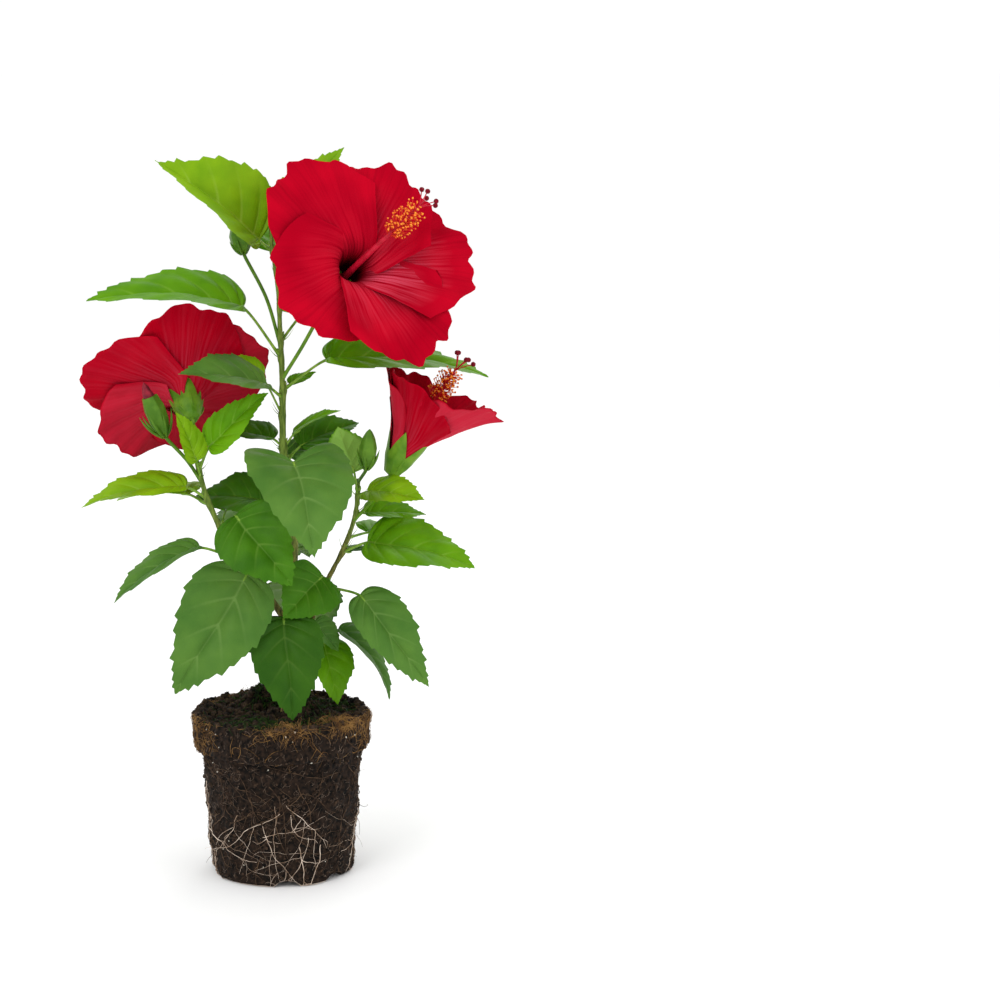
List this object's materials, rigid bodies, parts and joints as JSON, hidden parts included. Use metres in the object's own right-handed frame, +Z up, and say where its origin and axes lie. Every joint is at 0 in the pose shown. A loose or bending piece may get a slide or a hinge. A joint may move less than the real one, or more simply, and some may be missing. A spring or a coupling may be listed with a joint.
{
  "type": "young hibiscus shrub on its root ball",
  "caption": "Young flowering hibiscus shrub with open red blooms, buds and green leaves, standing on a bare pot-shaped root ball.",
  "frame": {"origin": "centre of the root ball's flat underside", "axes": "+Z up along the stem, -Y to the front as pictured, +X to the right seen from the front"},
  "size_m": [0.277, 0.1718, 0.4947],
  "materials": {
    "compost": "matte",
    "stem_bark": "matte",
    "green_stem": "satin",
    "leaf_green": "satin",
    "calyx_green": "satin",
    "petal_red": "satin"
  },
  "bodies": {
    "root": {"bloom_left": "petal_red", "bloom_right": "petal_red", "bloom_top": "petal_red", "bud_left": "calyx_green", "bud_right": "calyx_green", "bud_top": "calyx_green", "calyx_left": "calyx_green", "calyx_right": "calyx_green", "calyx_top": "calyx_green", "leaf_arched_right": "leaf_green", "leaf_back_crown": "leaf_green", "leaf_back_high": "leaf_green", "leaf_back_left": "leaf_green", "leaf_back_low": "leaf_green", "leaf_back_low_left": "leaf_green", "leaf_back_middle": "leaf_green", "leaf_back_middle_left": "leaf_green", "leaf_back_middle_right": "leaf_green", "leaf_back_outer_left": "leaf_green", "leaf_back_outer_right": "leaf_green", "leaf_back_right_crown": "leaf_green", "leaf_back_upper": "leaf_green", "leaf_behind_left": "leaf_green", "leaf_bough_top": "leaf_green", "leaf_bright_left": "leaf_green", "leaf_centre_small": "leaf_green", "leaf_drooping_right": "leaf_green", "leaf_front_heart": "leaf_green", "leaf_front_left": "leaf_green", "leaf_front_low": "leaf_green", "leaf_grey_right": "leaf_green", "leaf_hidden_right": "leaf_green", "leaf_hidden_small": "leaf_green", "leaf_high_left": "leaf_green", "leaf_high_right": "leaf_green", "leaf_inner_left": "leaf_green", "leaf_inner_right": "leaf_green", "leaf_large_left": "leaf_green", "leaf_low_right": "leaf_green", "leaf_middle_left": "leaf_green", "leaf_node_small": "leaf_green", "leaf_outer_left": "leaf_green", "leaf_outer_right": "leaf_green", "leaf_pale_left": "leaf_green", "leaf_pale_right": "leaf_green", "leaf_side_left": "leaf_green", "leaf_slim_right": "leaf_green", "leaf_thin_right": "leaf_green", "leaf_top_left": "leaf_green", "leaf_top_right": "leaf_green", "leaf_upright_right": "leaf_green", "leaf_yellow_right": "leaf_green", "leaf_young_left": "leaf_green", "left_bough": "green_stem", "main_stem": "stem_bark", "right_bough": "green_stem", "root_ball": "compost"}
  },
  "joints": []
}
